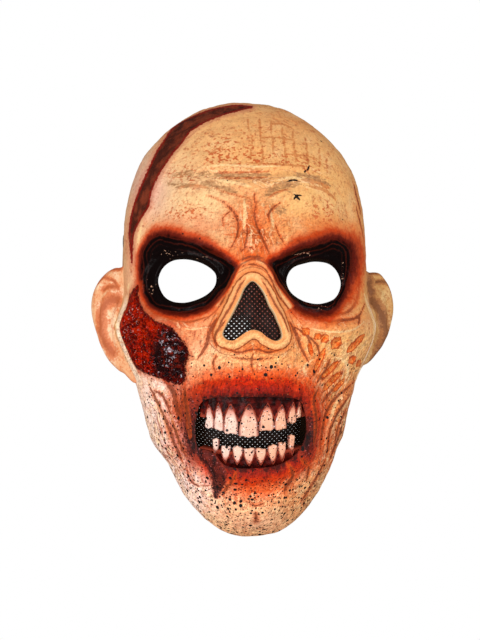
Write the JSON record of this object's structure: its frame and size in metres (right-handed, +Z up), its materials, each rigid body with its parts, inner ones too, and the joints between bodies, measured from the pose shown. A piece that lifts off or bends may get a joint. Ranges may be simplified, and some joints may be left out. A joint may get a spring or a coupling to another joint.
{
  "type": "latex halloween mask",
  "caption": "Painted latex zombie face mask with sunken eye holes, open nose, bared teeth, separate ears and an elastic head band on two rivets.",
  "frame": {"origin": "midway between the ears on the plane of the mask's back rim, level with the eye holes", "axes": "+Z up to the crown, +Y out of the open back towards the wearer's head (the face looks along -Y), +X to the right seen from the front"},
  "size_m": [0.1894, 0.1832, 0.266],
  "materials": {
    "latex_skin": "matte, hand painted",
    "latex_gum": "satin, hand painted",
    "tooth_plastic": "satin, stained",
    "black_mesh": "open woven mesh",
    "patch_fabric": "woven",
    "rivet_steel": "nickel plated",
    "black_elastic": "woven elastic"
  },
  "bodies": {
    "mask": {"face_shell": "latex_skin", "left_ear": "latex_skin", "right_ear": "latex_skin", "nose_mesh": "black_mesh", "mouth_mesh": "black_mesh", "upper_gum": "latex_gum", "lower_gum": "latex_gum", "left_patch": "patch_fabric", "right_patch": "patch_fabric", "left_rivet": "rivet_steel", "right_rivet": "rivet_steel", "left_washer": "rivet_steel", "right_washer": "rivet_steel", "upper_tooth_1": "tooth_plastic", "upper_tooth_2": "tooth_plastic", "upper_tooth_3": "tooth_plastic", "upper_tooth_4": "tooth_plastic", "upper_tooth_5": "tooth_plastic", "upper_tooth_6": "tooth_plastic", "upper_tooth_7": "tooth_plastic", "upper_tooth_8": "tooth_plastic", "lower_tooth_1": "tooth_plastic", "lower_tooth_2": "tooth_plastic", "lower_tooth_3": "tooth_plastic", "lower_tooth_4": "tooth_plastic", "lower_tooth_5": "tooth_plastic", "lower_tooth_6": "tooth_plastic", "lower_tooth_7": "tooth_plastic", "lower_tooth_8": "tooth_plastic"},
    "band": {"elastic_band": "black_elastic"}
  },
  "joints": [
    {"name": "band_swing", "type": "hinge", "parent": "mask", "child": "band", "pos_m": [0, -0.011, 0.024], "axis": [1, 0, 0], "range_deg": [-35, 30]}
  ]
}
